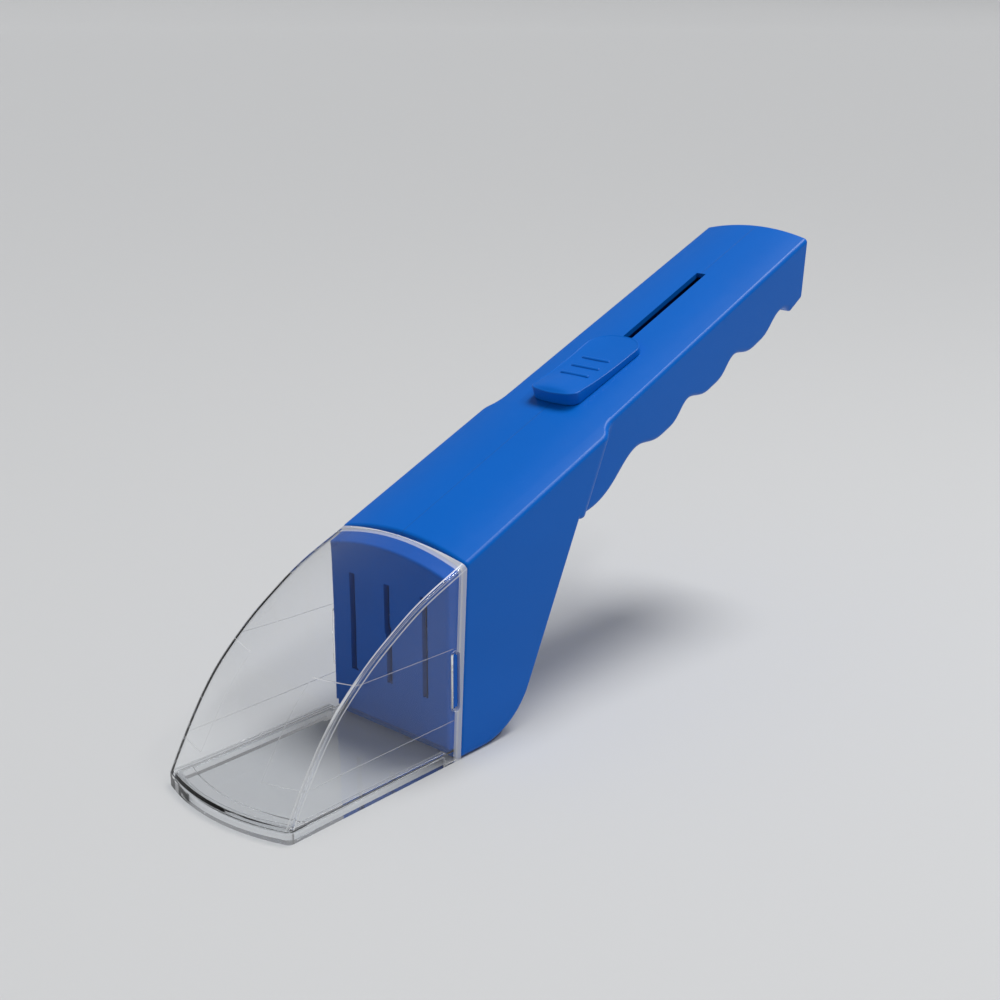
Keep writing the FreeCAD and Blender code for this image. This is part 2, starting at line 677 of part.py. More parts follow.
def origin_plane(body, role):
    return next(f for f in body.Origin.OriginFeatures if f.Role == role)


def rectangle_sketch(body, name, length_cell, width_cell, raise_cell=None):
    """A centred rectangle on the body's XY plane, sized by the sheet."""
    sketch = body.newObject("Sketcher::SketchObject", name)
    sketch.AttachmentSupport = (origin_plane(body, "XY_Plane"), [""])
    sketch.MapMode = "FlatFace"
    if raise_cell:
        sketch.setExpression("AttachmentOffset.Base.z", raise_cell)
    corners = [Vector(-5, -3, 0), Vector(5, -3, 0), Vector(5, 3, 0), Vector(-5, 3, 0)]
    for a, b in zip(corners, corners[1:] + corners[:1]):
        sketch.addGeometry(Part.LineSegment(a, b))
    for k in range(4):
        sketch.addConstraint(Sketcher.Constraint("Coincident", k, 2, (k + 1) % 4, 1))
    for k in (0, 2):
        sketch.addConstraint(Sketcher.Constraint("Horizontal", k))
        sketch.addConstraint(Sketcher.Constraint("Vertical", k + 1))
    sketch.addConstraint(Sketcher.Constraint("Symmetric", 0, 1, 2, 1, -1, 1))
    long_one = sketch.addConstraint(Sketcher.Constraint("DistanceX", 0, 1, 0, 2, 10))
    wide_one = sketch.addConstraint(Sketcher.Constraint("DistanceY", 1, 1, 1, 2, 6))
    sketch.setExpression(f"Constraints[{long_one}]", length_cell)
    sketch.setExpression(f"Constraints[{wide_one}]", width_cell)
    return sketch


def circle_sketch(body, name, radius_cell, ahead_cell):
    """One circle on the body's X axis, in its XY plane."""
    sketch = body.newObject("Sketcher::SketchObject", name)
    sketch.AttachmentSupport = (origin_plane(body, "XY_Plane"), [""])
    sketch.MapMode = "FlatFace"
    start = -2 if ahead_cell.startswith("-") else 2
    sketch.addGeometry(Part.Circle(Vector(start, 0, 0), Vector(0, 0, 1), 1))
    sketch.addConstraint(Sketcher.Constraint("PointOnObject", 0, 3, -1))
    radius = sketch.addConstraint(Sketcher.Constraint("Radius", 0, 1))
    ahead = sketch.addConstraint(Sketcher.Constraint("DistanceX", -1, 1, 0, 3, start))
    sketch.setExpression(f"Constraints[{radius}]", radius_cell)
    sketch.setExpression(f"Constraints[{ahead}]", ahead_cell)
    return sketch


def pad(body, sketch, name, length_cell):
    feature = body.newObject("PartDesign::Pad", name)
    feature.Profile = sketch
    feature.setExpression("Length", length_cell)
    return feature


def pocket_up(body, sketch, name, length_cell):
    """A pocket cut in the sketch's +Z direction."""
    feature = body.newObject("PartDesign::Pocket", name)
    feature.Profile = sketch
    feature.Reversed = True
    feature.setExpression("Length", length_cell)
    return feature


# ---------------------------------------------------------------- sketched pieces in the handle
def carriage_middle():
    return size("stem_start") + size("stem_length") / 2


def carriage_floor():
    """Underside of the carriage, below the top."""
    return size("track_floor") - size("track_base") - size("running_gap")


def slide_track():
    """Open channel under the slot that the carriage runs in, with a slot in its floor."""
    body = new_body("slide_track")
    base = rectangle_sketch(body, "track_plan", "sizes.track_length", "sizes.track_half_width * 2")
    pad(body, base, "track_block", "sizes.track_floor + sizes.track_top")
    run = rectangle_sketch(body, "track_run", "sizes.track_length - 4",
                           "(sizes.track_half_width - sizes.track_wall) * 2", "sizes.track_base")
    pocket_up(body, run, "track_channel", "sizes.track_floor + sizes.track_top")
    gap = rectangle_sketch(body, "track_gap", "sizes.track_length - 4", "sizes.floor_slot_width")
    pocket_up(body, gap, "track_floor_slot", "sizes.track_base + 1")
    middle = size("track_start") + size("track_length") / 2
    body.Placement = handle_place(middle, size("track_floor"))
    return body


def slide_carriage():
    """Block under the shell that the button stands on, with a lug down to the strip."""
    body = new_body("slide_carriage")
    base = rectangle_sketch(body, "carriage_plan", "sizes.carriage_length",
                            "(sizes.track_half_width - sizes.track_wall - sizes.running_gap) * 2")
    pad(body, base, "carriage_block", "sizes.carriage_height")
    lug = rectangle_sketch(body, "lug_plan", "sizes.lug_length", "sizes.lug_width")
    lug.setExpression("AttachmentOffset.Base.x", "sizes.lug_offset")
    add_length("lug_drop", size("tongue_depth") - size("sheet_gauge") / 2 - carriage_floor())
    stem = pad(body, lug, "carriage_lug", "sizes.lug_drop")
    stem.Reversed = True
    bore = circle_sketch(body, "carriage_bore_place", "sizes.carriage_bore", "sizes.button_screw_offset")
    pocket_up(body, bore, "carriage_screw_bore", "sizes.carriage_height + 1")
    body.Placement = handle_place(carriage_middle(), carriage_floor())
    return body


def clamp_place():
    """On the underside of the strip, below the carriage's lug."""
    return handle_place(carriage_middle() - size("lug_offset"),
                        size("tongue_depth") + size("sheet_gauge") / 2 + size("clamp_gauge"))


def shutter_clamp():
    """Bar under the strip that presses it against the carriage's lug."""
    body = new_body("shutter_clamp")
    base = rectangle_sketch(body, "clamp_plan", "sizes.lug_length", "sizes.clamp_width")
    pad(body, base, "clamp_bar", "sizes.clamp_gauge")
    for number, ahead in enumerate(("-sizes.rivet_pitch / 2", "sizes.rivet_pitch / 2")):
        hole = circle_sketch(body, f"rivet_hole_place_{number}", "sizes.rivet_radius", ahead)
        pocket_up(body, hole, f"rivet_hole_{number}", "sizes.clamp_gauge + 1")
    body.Placement = clamp_place()
    return body


def shutter_tail():
    """Straight end of the strip, from the neck's bend to the clamp."""
    strip = doc.addObject("Part::Box", "tail_strip")
    start = ribbon_end()
    finish = carriage_middle() - size("lug_offset") + size("lug_length") / 2
    add_length("tail_length", finish - start)
    strip.setExpression("Length", "sizes.tail_length")
    strip.setExpression("Width", "sizes.tongue_half_width * 2")
    strip.setExpression("Height", "sizes.sheet_gauge")
    below = size("tongue_depth") + size("sheet_gauge") / 2
    strip.Placement = handle_place(finish, below, -size("tongue_half_width"))
    holes = [cylinder(f"tail_hole_{number}", "sizes.rivet_radius", "sizes.sheet_gauge + 2",
                      handle_place(along, below + 1)) for number, along in enumerate(rivet_spots())]
    tail = doc.addObject("Part::Cut", "shutter_tail")
    tail.Label = "shutter_tail"
    tail.Base = strip
    tail.Tool = fused("tail_holes", holes)
    return tail


def rivet_spots():
    """Where the two clamp rivets stand, along the top."""
    middle = carriage_middle() - size("lug_offset")
    return [middle - size("rivet_pitch") / 2, middle + size("rivet_pitch") / 2]


def ribbon_end():
    """Where the bend into the handle ends, along the top."""
    end = path_edges(0, STRIP_FRONT, STRIP_REAR)[4].Vertexes[0].Point
    return (end - RIM_TOP).dot(REARWARD)


def clamp_rivets():
    """Two rivets through the clamp, the strip and the lug's foot."""
    pieces = []
    below = size("tongue_depth") + size("sheet_gauge") / 2 + size("clamp_gauge")
    for number, along in enumerate(rivet_spots()):
        pieces.append(cylinder(f"rivet_shank_{number}", "sizes.rivet_radius",
                               "sizes.clamp_gauge + sizes.sheet_gauge", handle_place(along, below)))
        pieces.append(cylinder(f"rivet_head_{number}", "sizes.rivet_head", "sizes.rivet_head / 2",
                               handle_place(along, below + size("rivet_head") / 2)))
    return fused("clamp_rivets", pieces)


def cylinder(name, radius_cell, height_cell, place):
    pin = doc.addObject("Part::Cylinder", name)
    pin.setExpression("Radius", radius_cell)
    pin.setExpression("Height", height_cell)
    pin.Placement = place
    return pin


def fused(label, pieces):
    joined = doc.addObject("Part::MultiFuse", label)
    joined.Label = label
    joined.Shapes = pieces
    return joined


def button_screw():
    """Self-tapping screw from under the carriage into the button's stem."""
    along = carriage_middle() - size("button_screw_offset")
    shank = cylinder("button_screw_shank", "sizes.screw_radius", "sizes.button_screw_length",
                     handle_place(along, carriage_floor()))
    head = cylinder("button_screw_head", "sizes.screw_head_radius - 0.5", "sizes.clamp_gauge",
                    handle_place(along, carriage_floor() + size("clamp_gauge")))
    return fused("button_screw", [shank, head])


def shell_screws():
    """The alike self-tapping screws that pull the two shell halves together."""
    pieces = []
    inward = Rotation(Vector(1, 0, 0), -90)
    seat = size("screw_seat")
    for number, (along, below) in enumerate(SCREW_PLACES):
        at = handle_point(along, below)
        shank = Placement(Vector(at.x, -seat, at.z), inward)
        head = Placement(Vector(at.x, -seat - size("screw_head_height"), at.z), inward)
        pieces.append(cylinder(f"shell_screw_shank_{number}", "sizes.screw_radius",
                               "sizes.screw_length", shank))
        pieces.append(cylinder(f"shell_screw_head_{number}", "sizes.screw_head_radius",
                               "sizes.screw_head_height", head))
    return fused("shell_screws", pieces)


# ---------------------------------------------------------------- the whole catcher
def formed(label, shape):
    """A piece whose freeform shape is worked out from the sheet's values."""
    piece = doc.addObject("Part::Feature", label)
    piece.Label = label
    piece.Shape = shape
    return piece


def build():
    left, right = shell_halves()
    pieces = [
        formed("shell_left", left),
        formed("shell_right", right),
        formed("vent_bulkhead", vent_bulkhead()),
        formed("clear_hood", clear_hood()),
        formed("shutter_rail", shutter_rail()),
        formed("heel_guide", heel_guide()),
        formed("neck_guide", neck_guide()),
        formed("shutter_bend", shutter_bend()),
        formed("shutter_panel", shutter_panel()),
        formed("shutter_lead_edge", shutter_lead_edge()),
        formed("thumb_button", thumb_button()),
        slide_track(),
        slide_carriage(),
        shutter_clamp(),
        shutter_tail(),
        clamp_rivets(),
        button_screw(),
        shell_screws(),
    ]
    doc.recompute()
    for item in doc.Objects:
        if {"Invalid", "Error"} & set(item.State):
            raise RuntimeError(f"{item.Name} failed: {item.State}")
    os.makedirs("parts", exist_ok=True)
    for piece in pieces:
        shape = piece.Shape
        if shape.isNull() or not shape.isValid() or shape.Volume <= 0:
            raise RuntimeError(f"{piece.Label} has no valid solid")
        print(f"{piece.Label:20s} {len(shape.Solids)} solid(s) {shape.Volume / 1000:8.2f} cm3")
        shape.exportStep(f"parts/{piece.Label}.step")


build()
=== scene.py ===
import math
import bmesh
import bpy
from bpy.props import FloatProperty, FloatVectorProperty, PointerProperty
from bpy.types import Operator, Panel, PropertyGroup
from mathutils import Matrix, Vector


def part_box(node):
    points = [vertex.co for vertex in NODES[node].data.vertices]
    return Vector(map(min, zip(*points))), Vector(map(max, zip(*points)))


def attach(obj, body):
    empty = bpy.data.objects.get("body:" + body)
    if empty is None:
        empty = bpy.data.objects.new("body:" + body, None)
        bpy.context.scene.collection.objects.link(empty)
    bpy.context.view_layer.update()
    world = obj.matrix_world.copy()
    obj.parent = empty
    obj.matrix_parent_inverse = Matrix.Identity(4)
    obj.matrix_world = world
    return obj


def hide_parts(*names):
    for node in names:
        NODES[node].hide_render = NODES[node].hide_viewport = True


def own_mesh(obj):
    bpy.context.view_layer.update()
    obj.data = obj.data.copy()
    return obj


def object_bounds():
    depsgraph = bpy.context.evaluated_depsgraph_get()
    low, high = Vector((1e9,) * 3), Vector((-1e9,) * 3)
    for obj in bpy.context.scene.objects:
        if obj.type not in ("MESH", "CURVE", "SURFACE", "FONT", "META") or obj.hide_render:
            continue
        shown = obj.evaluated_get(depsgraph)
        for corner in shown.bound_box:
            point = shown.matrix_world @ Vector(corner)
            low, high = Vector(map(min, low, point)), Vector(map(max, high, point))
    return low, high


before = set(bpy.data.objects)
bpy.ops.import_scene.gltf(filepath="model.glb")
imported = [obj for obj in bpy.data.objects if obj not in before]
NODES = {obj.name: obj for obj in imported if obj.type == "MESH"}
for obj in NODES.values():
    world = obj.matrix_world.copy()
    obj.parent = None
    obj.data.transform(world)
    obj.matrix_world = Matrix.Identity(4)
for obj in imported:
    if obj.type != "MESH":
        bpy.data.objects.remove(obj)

bl_info = {
    "name": "Insect catcher",
    "version": (1, 0, 0),
    "blender": (4, 5, 0),
    "location": "3D View > Sidebar > Catcher",
    "description": "Moulded catcher: blue shells, clear trap hood, shutter, thumb slide and stage",
    "category": "Object",
}

CAD_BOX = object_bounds()
MM = 0.001
TOP_ANGLE = math.radians(20.96)
REARWARD = Vector((-math.cos(TOP_ANGLE), 0.0, math.sin(TOP_ANGLE)))
TOPWARD = Vector((math.sin(TOP_ANGLE), 0.0, math.cos(TOP_ANGLE)))
ACROSS = Vector((0.0, 1.0, 0.0))
RIM_TOP = Vector((-3.5, 0.0, 70.0)) * MM
HALF_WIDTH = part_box("clear_hood")[1].y
CROWN_RADIUS = 107.0 * MM
RAIL_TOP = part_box("shutter_rail")[1].z
RAIL_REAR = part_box("shutter_rail")[0].x
RIM_LEAN = -RIM_TOP.x / RIM_TOP.z


# ---------------------------------------------------------------- sizes and colours
class ShellSettings(PropertyGroup):
    blue: FloatVectorProperty(
        name="Shell blue", description="Colour of the moulded halves", subtype="COLOR",
        size=4, min=0.0, max=1.0, default=(0.0, 0.122, 0.54, 1.0))
    # The shell's blue darkened a little: painted shade for the vent wall under the clear hood.
    plug_shaded_blue: FloatVectorProperty(
        name="Vent wall blue", description="Colour of the vent bulkhead", subtype="COLOR",
        size=4, min=0.0, max=1.0, default=(0.0, 0.102, 0.50, 1.0))
    # The shell's blue much darkened: painted shade for the guides, track and carriage deep in the slot.
    inner_shaded_blue: FloatVectorProperty(
        name="Inner blue", description="Colour of the guides, track and carriage", subtype="COLOR",
        size=4, min=0.0, max=1.0, default=(0.0, 0.045, 0.24, 1.0))
    roughness: FloatProperty(
        name="Roughness", description="Roughness of the moulded skin", min=0.0, max=1.0, default=0.34)
    seam: FloatProperty(
        name="Seam width", description="Width of the parting line between the halves",
        subtype="DISTANCE", unit="LENGTH", default=0.14 * MM)


class HoodSettings(PropertyGroup):
    tint: FloatVectorProperty(
        name="Hood tint", description="Tint of the clear plastic", subtype="COLOR",
        size=4, min=0.0, max=1.0, default=(0.985, 0.99, 0.995, 1.0))
    wall: FloatProperty(
        name="Wall", description="Thickness of the hood's walls",
        subtype="DISTANCE", unit="LENGTH", default=2.0 * MM)
    corner: FloatProperty(
        name="Corner", description="Rounding between the hood's top sheet and its sides",
        subtype="DISTANCE", unit="LENGTH", default=2.2 * MM)
    flange: FloatProperty(
        name="Flange", description="Width of the frosted flange next to the head",
        subtype="DISTANCE", unit="LENGTH", default=2.2 * MM)
    upper_line: FloatProperty(
        name="Upper mould line", description="Height of the upper mould line on the hood",
        subtype="DISTANCE", unit="LENGTH", default=42.5 * MM)
    lower_line: FloatProperty(
        name="Lower mould line", description="Height of the lower mould line on the hood",
        subtype="DISTANCE", unit="LENGTH", default=15.8 * MM)
    inner_line: FloatProperty(
        name="Inner mould line", description="Side place of the mould lines on the top sheet",
        subtype="DISTANCE", unit="LENGTH", default=15.0 * MM)
    line_width: FloatProperty(
        name="Mould line width", description="Width of the fine mould lines",
        subtype="DISTANCE", unit="LENGTH", default=0.16 * MM)
    lip_sag: FloatProperty(
        name="Lip arch", description="How far the top sheet is arched at the lip",
        subtype="DISTANCE", unit="LENGTH", default=5.2 * MM)
    rim_bevel: FloatProperty(
        name="Rim bevel", description="Softening of the hood's cut rims",
        subtype="DISTANCE", unit="LENGTH", default=0.22 * MM)
    window_width: FloatProperty(
        name="Window width", description="Width of a snap window",
        subtype="DISTANCE", unit="LENGTH", default=3.3 * MM)
    window_height: FloatProperty(
        name="Window height", description="Height of a snap window",
        subtype="DISTANCE", unit="LENGTH", default=22.0 * MM)
    window_level: FloatProperty(
        name="Window level", description="Height of a snap window's middle above the floor",
        subtype="DISTANCE", unit="LENGTH", default=29.5 * MM)
    window_ahead: FloatProperty(
        name="Window place", description="Middle of a snap window, ahead of the head's foot",
        subtype="DISTANCE", unit="LENGTH", default=1.2 * MM)


class ShutterSettings(PropertyGroup):
    bow: FloatProperty(
        name="Bow", description="How far the sheet's front edge bows forward of its corners",
        subtype="DISTANCE", unit="LENGTH", default=5.8 * MM)
    rim_bevel: FloatProperty(
        name="Rim bevel", description="Softening of the sheet's edges",
        subtype="DISTANCE", unit="LENGTH", default=0.15 * MM)


class ButtonSettings(PropertyGroup):
    start: FloatProperty(
        name="Start", description="Front edge of the button, along the handle's top",
        subtype="DISTANCE", unit="LENGTH", default=86.5 * MM)
    length: FloatProperty(
        name="Length", description="Length of the button",
        subtype="DISTANCE", unit="LENGTH", default=47.5 * MM)
    front_half: FloatProperty(
        name="Front half width", description="Half the width of the button at its front",
        subtype="DISTANCE", unit="LENGTH", default=10.8 * MM)
    rear_half: FloatProperty(
        name="Rear half width", description="Half the width of the button near its rear",
        subtype="DISTANCE", unit="LENGTH", default=12.0 * MM)
    front_corner: FloatProperty(
        name="Front corner", description="Rounding of the button's front corners",
        subtype="DISTANCE", unit="LENGTH", default=3.4 * MM)
    rear_corner: FloatProperty(
        name="Rear corner", description="Rounding of the button's rear corners",
        subtype="DISTANCE", unit="LENGTH", default=7.5 * MM)
    rib_pitch: FloatProperty(
        name="Rib pitch", description="Distance between the grip ribs",
        subtype="DISTANCE", unit="LENGTH", default=6.6 * MM)
    rib_length: FloatProperty(
        name="Rib length", description="Length of a grip rib",
        subtype="DISTANCE", unit="LENGTH", default=13.6 * MM)
    rib_middle: FloatProperty(
        name="Rib place", description="Middle rib, behind the button's front edge",
        subtype="DISTANCE", unit="LENGTH", default=22.6 * MM)
    rib_width: FloatProperty(
        name="Rib width", description="Width of a grip rib",
        subtype="DISTANCE", unit="LENGTH", default=1.8 * MM)
    rib_height: FloatProperty(
        name="Rib height", description="Height of a grip rib, most of it sunk in the button",
        subtype="DISTANCE", unit="LENGTH", default=1.6 * MM)
    rim_lift: FloatProperty(
        name="Rim lift", description="How far the button's rim stands above its dished top",
        subtype="DISTANCE", unit="LENGTH", default=0.25 * MM)
    rim_bevel: FloatProperty(
        name="Rim bevel", description="Rounding of the button's rim",
        subtype="DISTANCE", unit="LENGTH", default=0.5 * MM)
    clearance: FloatProperty(
        name="Clearance", description="Gap between the button's skirt and the handle",
        subtype="DISTANCE", unit="LENGTH", default=0.35 * MM)


class StageSettings(PropertyGroup):
    floor: FloatVectorProperty(
        name="Floor colour", description="Colour of the plain floor", subtype="COLOR",
        size=4, min=0.0, max=1.0, default=(0.56, 0.565, 0.57, 1.0))
    air: FloatProperty(
        name="Soft light", description="Strength of the light from all round", min=0.0, default=0.24)
    sun: FloatProperty(
        name="Key light", description="Strength of the key light", min=0.0, default=2.5)
    strip: FloatProperty(
        name="Strip light", description="Power of the strip that lights the long edges",
        subtype="POWER", unit="POWER", default=2.4)
    lens: FloatProperty(
        name="Lens", description="Focal length of the camera in millimetres", default=56.12)


class CatcherSettings(PropertyGroup):
    shell: PointerProperty(type=ShellSettings)
    hood: PointerProperty(type=HoodSettings)
    shutter: PointerProperty(type=ShutterSettings)
    button: PointerProperty(type=ButtonSettings)
    stage: PointerProperty(type=StageSettings)


def settings():
    return bpy.context.scene.catcher


# ---------------------------------------------------------------- materials
class Mix:
    """Small helper that adds and joins nodes of one material."""

    def __init__(self, name):
        self.material = bpy.data.materials.new(name)
        self.material.use_nodes = True
        self.tree = self.material.node_tree
        self.shader = self.tree.nodes["Principled BSDF"]
        self.place = self.add("ShaderNodeTexCoord").outputs["Object"]

    def add(self, kind, **values):
        node = self.tree.nodes.new(kind)
        for key, value in values.items():
            setattr(node, key, value)
        return node

    def feed(self, value, socket):
        """Joins an output to a socket, or sets the socket to a plain value."""
        if hasattr(value, "is_linked"):
            self.join(value, socket)
        else:
            socket.default_value = value

    def set_look(self, **looks):
        """Feeds the main shader, with underscores for the spaces in its sockets' names."""
        for name, value in looks.items():
            self.feed(value, self.shader.inputs[name.replace("_", " ")])

    def join(self, output, target):
        self.tree.links.new(output, target)

    def maths(self, operation, first, second=None):
        node = self.add("ShaderNodeMath", operation=operation)
        for socket, value in zip(node.inputs, (first, second)):
            if value is not None:
                self.feed(value, socket)
        return node.outputs[0]

    def noise(self, scale, detail=2.0, roughness=0.5, stretch=None):
        node = self.add("ShaderNodeTexNoise")
        node.inputs["Scale"].default_value = scale
        node.inputs["Detail"].default_value = detail
        node.inputs["Roughness"].default_value = roughness
        source = self.place
        if stretch:
            mapping = self.add("ShaderNodeMapping")
            mapping.inputs["Scale"].default_value = stretch
            self.join(self.place, mapping.inputs["Vector"])
            source = mapping.outputs[0]
        self.join(source, node.inputs["Vector"])
        return node.outputs["Fac"]

    def axis(self, name):
        split = self.add("ShaderNodeSeparateXYZ")
        self.join(self.place, split.inputs[0])
        return split.outputs[name]

    def attribute(self, name):
        return self.add("ShaderNodeAttribute", attribute_name=name).outputs["Fac"]

    def ramp(self, value, ends, results, kind="LINEAR"):
        """Carries the range between `ends` to the range between `results`."""
        node = self.add("ShaderNodeMapRange", interpolation_type=kind)
        for name, number in zip(("From Min", "From Max", "To Min", "To Max"), (*ends, *results)):
            node.inputs[name].default_value = number
        self.join(value, node.inputs["Value"])
        return node.outputs[0]

    def step(self, value, start, end):
        """0 on the side of `start`, 1 on the side of `end`."""
        if start < end:
            return self.ramp(value, (start, end), (0.0, 1.0), "SMOOTHSTEP")
        return self.ramp(value, (end, start), (1.0, 0.0), "SMOOTHSTEP")

    def spread(self, value, low, high):
        return self.ramp(value, (0.0, 1.0), (low, high))

    def blend(self, factor, first, second):
        node = self.add("ShaderNodeMix", data_type="RGBA")
        self.join(factor, node.inputs["Factor"])
        self.feed(first, node.inputs[6])
        self.feed(second, node.inputs[7])
        return node.outputs[2]

    def bump(self, height, distance, strength=1.0, after=None):
        node = self.add("ShaderNodeBump")
        node.inputs["Distance"].default_value = distance
        node.inputs["Strength"].default_value = strength
        self.join(height, node.inputs["Height"])
        if after is not None:
            self.join(after, node.inputs["Normal"])
        return node.outputs[0]

    def pass_light(self, tint):
        """Lets lamps and soft light shine straight through a clear piece onto what is behind it."""
        through_it = self.add("ShaderNodeBsdfTransparent")
        through_it.inputs["Color"].default_value = tint
        path = self.add("ShaderNodeLightPath")
        surface = self.shader.outputs[0]
        for ray in ("Is Diffuse Ray", "Is Shadow Ray"):
            choice = self.add("ShaderNodeMixShader")
            self.join(path.outputs[ray], choice.inputs[0])
            self.join(surface, choice.inputs[1])
            self.join(through_it.outputs[0], choice.inputs[2])
            surface = choice.outputs[0]
        self.join(surface, self.tree.nodes["Material Output"].inputs["Surface"])

    def line(self, coordinate, at, width):
        """1 on a thin line across a coordinate, 0 elsewhere."""
        distance = self.maths("ABSOLUTE", self.maths("SUBTRACT", coordinate, at))
        return self.step(distance, width, width * 0.35)


def shade(colour, factor):
    return tuple(min(c * factor, 1.0) for c in colour[:3]) + (1.0,)


def moulded_blue(name, colour, seam=False):
    """Satin moulded plastic: faint flow marks, fine spark-eroded skin, parting line."""
    mix = Mix(name)
    flow = mix.noise(28.0, 3.0, 0.55, (0.35, 1.0, 1.0))
    body = mix.blend(flow, shade(colour, 0.93), shade(colour, 1.07))
    skin = mix.noise(5200.0, 2.0, 0.6)
    ripple = mix.noise(420.0, 2.0, 0.5)
    height = mix.maths("ADD", mix.maths("MULTIPLY", skin, 0.5), ripple)
    normal = mix.bump(height, 0.01 * MM, 0.5)
    if seam:
        cut = mix.line(mix.axis("Y"), 0.0, settings().shell.seam)
        body = mix.blend(mix.maths("MULTIPLY", cut, 0.55), body, shade(colour, 0.35))
        normal = mix.bump(mix.maths("SUBTRACT", 1.0, cut), 0.08 * MM, 0.5, normal)
    rough = settings().shell.roughness
    gloss = mix.spread(mix.noise(160.0, 4.0, 0.6), rough - 0.05, rough + 0.06)
    mix.set_look(Base_Color=body, Roughness=gloss, Normal=normal, IOR=1.50, Specular_IOR_Level=0.14)
    return mix.material


# White of the frosted flange and lines, and of the milky edges that are painted highlights.
FROST_AND_GLINT_WHITE = (0.92, 0.93, 0.95, 1.0)
LAMP_TINT = (0.93, 0.935, 0.94, 1.0)
HALF_GLOSS = (0.5, 0.5, 0.5, 1.0)


def clear_plastic(name, tint, roughness=0.008, glint_milk=0.0, marks=None):
    """Water-clear moulding with faint ripples; the milky share turns it white and scattering, and is
    used for painted highlights on the hood's edges.
    """
    mix = Mix(name)
    normal = mix.bump(mix.noise(26.0, 2.0, 0.5), 0.06 * MM, 0.2)
    scuffs = mix.noise(700.0, 3.0, 0.7, (1.0, 1.0, 0.12))
    rough = mix.spread(scuffs, roughness * 0.4 + glint_milk * 0.3, roughness * 2.2 + glint_milk * 0.5)
    if marks:
        cloud, normal = marks(mix, normal)
        rough = mix.maths("ADD", rough, mix.maths("MULTIPLY", cloud, 0.45))
        clarity = mix.maths("SUBTRACT", 1.0, cloud)
        body = mix.blend(cloud, tint, FROST_AND_GLINT_WHITE)
    else:
        clarity = 1.0 - glint_milk
        body = [t + (white - t) * glint_milk for t, white in zip(tint, FROST_AND_GLINT_WHITE)]
    mix.set_look(Base_Color=body, Transmission_Weight=clarity, Roughness=rough, Normal=normal,
                 IOR=1.49, Specular_Tint=HALF_GLOSS)
    mix.pass_light(LAMP_TINT)
    return mix.material


def hood_marks(mix, normal):
    """Frosted flange beside the head and the fine mould lines of the hood's outer skin."""
    hood = settings().hood
    frost, soft, drop, rise = 0.42, 0.05 * MM, 0.6 * MM, 0.035
    x, upright = mix.axis("X"), mix.axis("Z")
    side = mix.maths("ABSOLUTE", mix.axis("Y"))
    ahead = mix.maths("ADD", x, mix.maths("MULTIPLY", upright, RIM_LEAN))
    flange = mix.step(ahead, hood.flange, hood.flange - 0.25 * MM)
    flange = mix.maths("MULTIPLY", flange, frost)

    level = mix.maths("SUBTRACT", upright, mix.maths("MULTIPLY", x, rise))
    upper = mix.line(level, hood.upper_line - drop, hood.line_width)
    lower = mix.line(upright, hood.lower_line, hood.line_width)
    inner = mix.line(side, hood.inner_line, hood.line_width)
    outside = mix.step(side, hood.inner_line - soft, hood.inner_line)
    below = mix.step(upright, hood.upper_line + soft, hood.upper_line)
    above = mix.step(upright, hood.lower_line - soft, hood.lower_line)
    flat = mix.maths("MULTIPLY", mix.maths("ADD", upper, lower), outside)
    turned = mix.maths("MULTIPLY", inner, mix.maths("MULTIPLY", below, above))
    marks = mix.maths("ADD", flat, mix.maths("MULTIPLY", turned, 0.5))
    marks = mix.maths("MULTIPLY", marks, mix.attribute("skin"))
    cloud = mix.maths("MAXIMUM", flange, mix.maths("MULTIPLY", marks, frost))
    return cloud, mix.bump(marks, 0.05 * MM, 0.6, normal)


def zinc_steel():
    """Bright zinc-plated steel of the screws and rivets."""
    mix = Mix("zinc_plate")
    body = mix.blend(mix.noise(500.0, 3.0, 0.6), (0.52, 0.53, 0.56, 1), (0.72, 0.73, 0.74, 1))
    gloss = mix.spread(mix.noise(1400.0, 3.0, 0.6), 0.22, 0.42)
    normal = mix.bump(mix.noise(2200.0), 0.01 * MM, 0.4)
    mix.set_look(Base_Color=body, Roughness=gloss, Normal=normal, Metallic=1.0)
    return mix.material


def wear(piece, material):
    piece.data.materials.clear()
    piece.data.materials.append(material)


# ---------------------------------------------------------------- shaping helpers
def crown(side):
    """Height of the arched top above its side edges."""
    return math.sqrt(CROWN_RADIUS ** 2 - side ** 2) - math.sqrt(CROWN_RADIUS ** 2 - HALF_WIDTH ** 2)


def handle_frame():
    """Turns (along the top, sideways, above the crown's middle line) into a place on the handle."""
    turn = Matrix((REARWARD, ACROSS, TOPWARD)).transposed().to_4x4()
    return Matrix.Translation(RIM_TOP + TOPWARD * crown(0.0)) @ turn


def through(knots, at):
    """Smooth value at `at` through (place, value) knots."""
    last = len(knots) - 2
    i = max(k for k in range(last + 1) if k == 0 or knots[k][0] <= at)

    def slope(k):
        before, after = knots[max(k - 1, 0)], knots[min(k + 1, last + 1)]
        return (after[1] - before[1]) / (after[0] - before[0])

    (x0, y0), (x1, y1) = knots[i], knots[i + 1]
    span = x1 - x0
    t = (at - x0) / span
    return ((2 * t ** 3 - 3 * t ** 2 + 1) * y0 + (t ** 3 - 2 * t ** 2 + t) * span * slope(i)
            + (3 * t ** 2 - 2 * t ** 3) * y1 + (t ** 3 - t ** 2) * span * slope(i + 1))


def bevel(mesh, edges, offset, segments=3):
    return bmesh.ops.bevel(mesh, geom=edges, offset=offset, segments=segments, profile=0.5,
                           affect="EDGES", material=-1, clamp_overlap=True)


